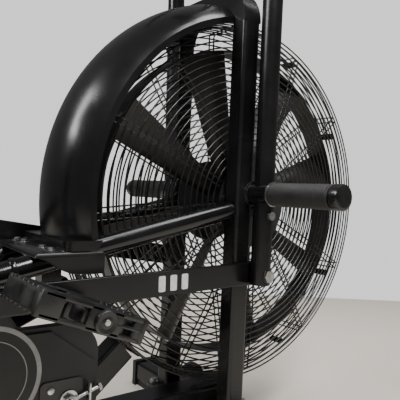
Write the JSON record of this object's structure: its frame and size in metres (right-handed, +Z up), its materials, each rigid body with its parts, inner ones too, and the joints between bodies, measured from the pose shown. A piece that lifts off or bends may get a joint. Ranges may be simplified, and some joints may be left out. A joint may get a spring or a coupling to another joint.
{
  "type": "air bike",
  "caption": "Upright exercise bike with a caged air fan, swinging hand levers linked to the crank, foot pegs, adjustable seat and a tilting console",
  "frame": {"origin": "on the floor at the centre of the bounding box", "axes": "+X forward from the seat to the fan, +Y to the rider's left, +Z up"},
  "size_m": [1.313, 0.6, 1.2334],
  "materials": {
    "frame_paint": "satin black powder coat",
    "lever_paint": "satin black powder coat",
    "link_paint": "flat black powder coat",
    "wire_black": "gloss black dipped wire",
    "steel": "turned steel",
    "zinc": "zinc plated",
    "moulded_gloss": "glossy black moulding",
    "moulded_matte": "fine matte grain",
    "pedal_resin": "glass filled black resin",
    "rubber_black": "moulded rubber",
    "foam_black": "closed foam sleeve",
    "vinyl": "grained black vinyl over foam",
    "key_grey": "grey key caps"
  },
  "bodies": {
    "frame": {"bearing_shells": "frame_paint", "bearings": "steel", "cage_clips": "wire_black", "cage_hub_plates": "link_paint", "cage_left": "wire_black", "cage_right": "wire_black", "cage_stay": "frame_paint", "centre_strut": "frame_paint", "chain_cover": "link_paint", "console_stem": "frame_paint", "cover_panel": "link_paint", "drive_chain": "steel", "end_caps": "moulded_matte", "fan_axle": "steel", "fan_belt": "rubber_black", "fender": "moulded_gloss", "fender_saddle": "moulded_gloss", "foot_peg_caps": "rubber_black", "foot_peg_grips": "rubber_black", "fork_bridge": "frame_paint", "fork_legs": "frame_paint", "fork_plates": "frame_paint", "front_stabiliser": "frame_paint", "lever_bushes": "steel", "main_beam": "frame_paint", "pivot_shafts": "steel", "rear_stabiliser": "frame_paint", "seat_mast": "frame_paint", "side_tubes": "frame_paint", "tensioner": "zinc"},
    "fan": {"fan_hub": "steel", "fan_blades": "steel", "fan_rim": "steel", "fan_pulley": "steel"},
    "jack": {"jackshaft": "frame_paint"},
    "crank": {"crank_axle": "steel", "crank_webs": "frame_paint", "crank_arms": "frame_paint", "pedal_spindles": "steel", "chainring": "steel"},
    "pedal_r": {"pedal_right": "pedal_resin"},
    "pedal_l": {"pedal_left": "pedal_resin"},
    "link_r": {"link_right": "link_paint"},
    "link_l": {"link_left": "link_paint"},
    "lever_r": {"lever_right": "lever_paint", "lever_bolts_right": "zinc", "handle_grip_right": "foam_black"},
    "lever_l": {"lever_left": "lever_paint", "lever_bolts_left": "zinc", "handle_grip_left": "foam_black"},
    "post": {"seat_post": "frame_paint"},
    "carriage": {"seat_carriage": "frame_paint", "seat_cushion": "vinyl"},
    "pin_post": {"post_pin": "moulded_matte"},
    "pin_carriage": {"carriage_pin": "moulded_matte"},
    "console": {"console_housing": "moulded_matte"},
    "key_l": {"key_left": "key_grey"},
    "key_r": {"key_right": "key_grey"},
    "wheel_r": {"transport_wheel_right": "rubber_black"},
    "wheel_l": {"transport_wheel_left": "rubber_black"}
  },
  "joints": [
    {"name": "fan_spin", "type": "hinge", "parent": "frame", "child": "fan", "pos_m": [0.3235, 0, 0.436], "axis": [0, 1, 0], "continuous": true},
    {"name": "jackshaft_spin", "type": "hinge", "parent": "frame", "child": "jack", "pos_m": [-0.0865, 0, 0.154], "axis": [0, 1, 0], "continuous": true},
    {"name": "crank_spin", "type": "hinge", "parent": "frame", "child": "crank", "pos_m": [-0.2325, 0, 0.352], "axis": [0, 1, 0], "continuous": true},
    {"name": "pedal_right_spin", "type": "hinge", "parent": "crank", "child": "pedal_r", "pos_m": [-0.06784, -0.2, 0.30972], "axis": [0, 1, 0], "continuous": true},
    {"name": "pedal_left_spin", "type": "hinge", "parent": "crank", "child": "pedal_l", "pos_m": [-0.39716, 0.2, 0.39428], "axis": [0, 1, 0], "continuous": true},
    {"name": "link_right_pivot", "type": "hinge", "parent": "crank", "child": "link_r", "pos_m": [-0.23731, -0.1155, 0.30625], "axis": [0, 1, 0], "continuous": true},
    {"name": "link_left_pivot", "type": "hinge", "parent": "crank", "child": "link_l", "pos_m": [-0.22769, 0.1155, 0.39775], "axis": [0, 1, 0], "continuous": true},
    {"name": "lever_right_swing", "type": "hinge", "parent": "frame", "child": "lever_r", "pos_m": [0.2835, -0.137, 0.454], "axis": [0, 1, 0], "range_deg": [-19, 19]},
    {"name": "lever_left_swing", "type": "hinge", "parent": "frame", "child": "lever_l", "pos_m": [0.2835, 0.137, 0.454], "axis": [0, 1, 0], "range_deg": [-19, 19]},
    {"name": "seat_height", "type": "slide", "parent": "frame", "child": "post", "axis": [-0.2588, 0, 0.9659], "range_m": [-0.1, 0.1]},
    {"name": "seat_fore_aft", "type": "slide", "parent": "post", "child": "carriage", "axis": [1, 0, 0], "range_m": [-0.06, 0.06]},
    {"name": "post_pin_pull", "type": "slide", "parent": "frame", "child": "pin_post", "axis": [0.9659, 0, 0.2588], "range_m": [-0.006, 0]},
    {"name": "carriage_pin_pull", "type": "slide", "parent": "carriage", "child": "pin_carriage", "axis": [0, -1, 0], "range_m": [-0.006, 0]},
    {"name": "console_tilt", "type": "hinge", "parent": "frame", "child": "console", "pos_m": [0.2415, 0, 1.085], "axis": [0, 1, 0], "range_deg": [-15, 20]},
    {"name": "key_left_press", "type": "slide", "parent": "console", "child": "key_l", "axis": [0.9063, 0, -0.4226], "range_m": [0, 0.002], "stiffness_N_per_m": 400},
    {"name": "key_right_press", "type": "slide", "parent": "console", "child": "key_r", "axis": [0.9063, 0, -0.4226], "range_m": [0, 0.002], "stiffness_N_per_m": 400},
    {"name": "wheel_right_spin", "type": "hinge", "parent": "frame", "child": "wheel_r", "pos_m": [0.3745, -0.16, 0.035], "axis": [0, 1, 0], "continuous": true},
    {"name": "wheel_left_spin", "type": "hinge", "parent": "frame", "child": "wheel_l", "pos_m": [0.3745, 0.16, 0.035], "axis": [0, 1, 0], "continuous": true}
  ],
  "couplings": [
    {"joint": "jackshaft_spin", "follows": "fan_spin", "ratio": 0.4},
    {"joint": "crank_spin", "follows": "fan_spin", "ratio": 0.19556},
    {"joint": "link_right_pivot", "follows": "fan_spin", "ratio": -0.19556},
    {"joint": "link_left_pivot", "follows": "fan_spin", "ratio": -0.19556},
    {"joint": "lever_left_swing", "follows": "lever_right_swing", "ratio": -1}
  ]
}
